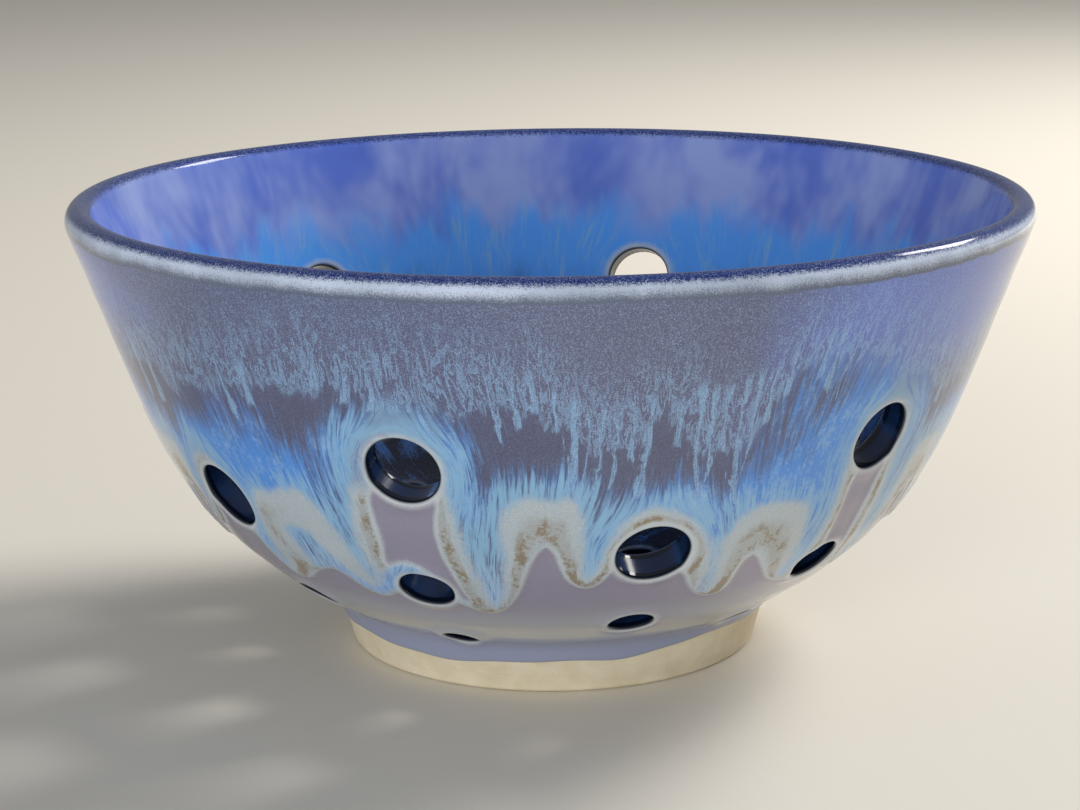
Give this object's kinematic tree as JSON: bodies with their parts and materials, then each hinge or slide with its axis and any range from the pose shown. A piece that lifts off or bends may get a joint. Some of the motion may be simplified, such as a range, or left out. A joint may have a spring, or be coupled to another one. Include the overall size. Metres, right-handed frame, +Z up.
{
  "type": "colander bowl",
  "caption": "Round stoneware berry colander bowl with drain holes through its wall and floor, a turned foot ring and a glaze dipped over the rim.",
  "frame": {"origin": "centre of the foot's standing face, on the table", "axes": "+Z up along the bowl's axis, -Y towards the side that the picture shows"},
  "size_m": [0.165, 0.165, 0.0786],
  "materials": {
    "clay": "bare fired cream stoneware, sponged smooth, matt",
    "inside_glaze": "glossy blue reactive glaze",
    "outside_glaze": "glossy mauve reactive glaze",
    "dip_glaze": "glossy violet-blue reactive glaze with light blue runs",
    "lining_glaze": "glossy dark blue glaze"
  },
  "bodies": {
    "root": {"clay_bowl": "clay", "foot_ring": "clay", "inside_base_glaze": "inside_glaze", "outside_base_glaze": "outside_glaze", "rim_dip_glaze": "dip_glaze", "large_hole_linings": "lining_glaze", "medium_hole_linings": "lining_glaze", "small_hole_linings": "lining_glaze", "floor_hole_linings": "lining_glaze"}
  },
  "joints": []
}
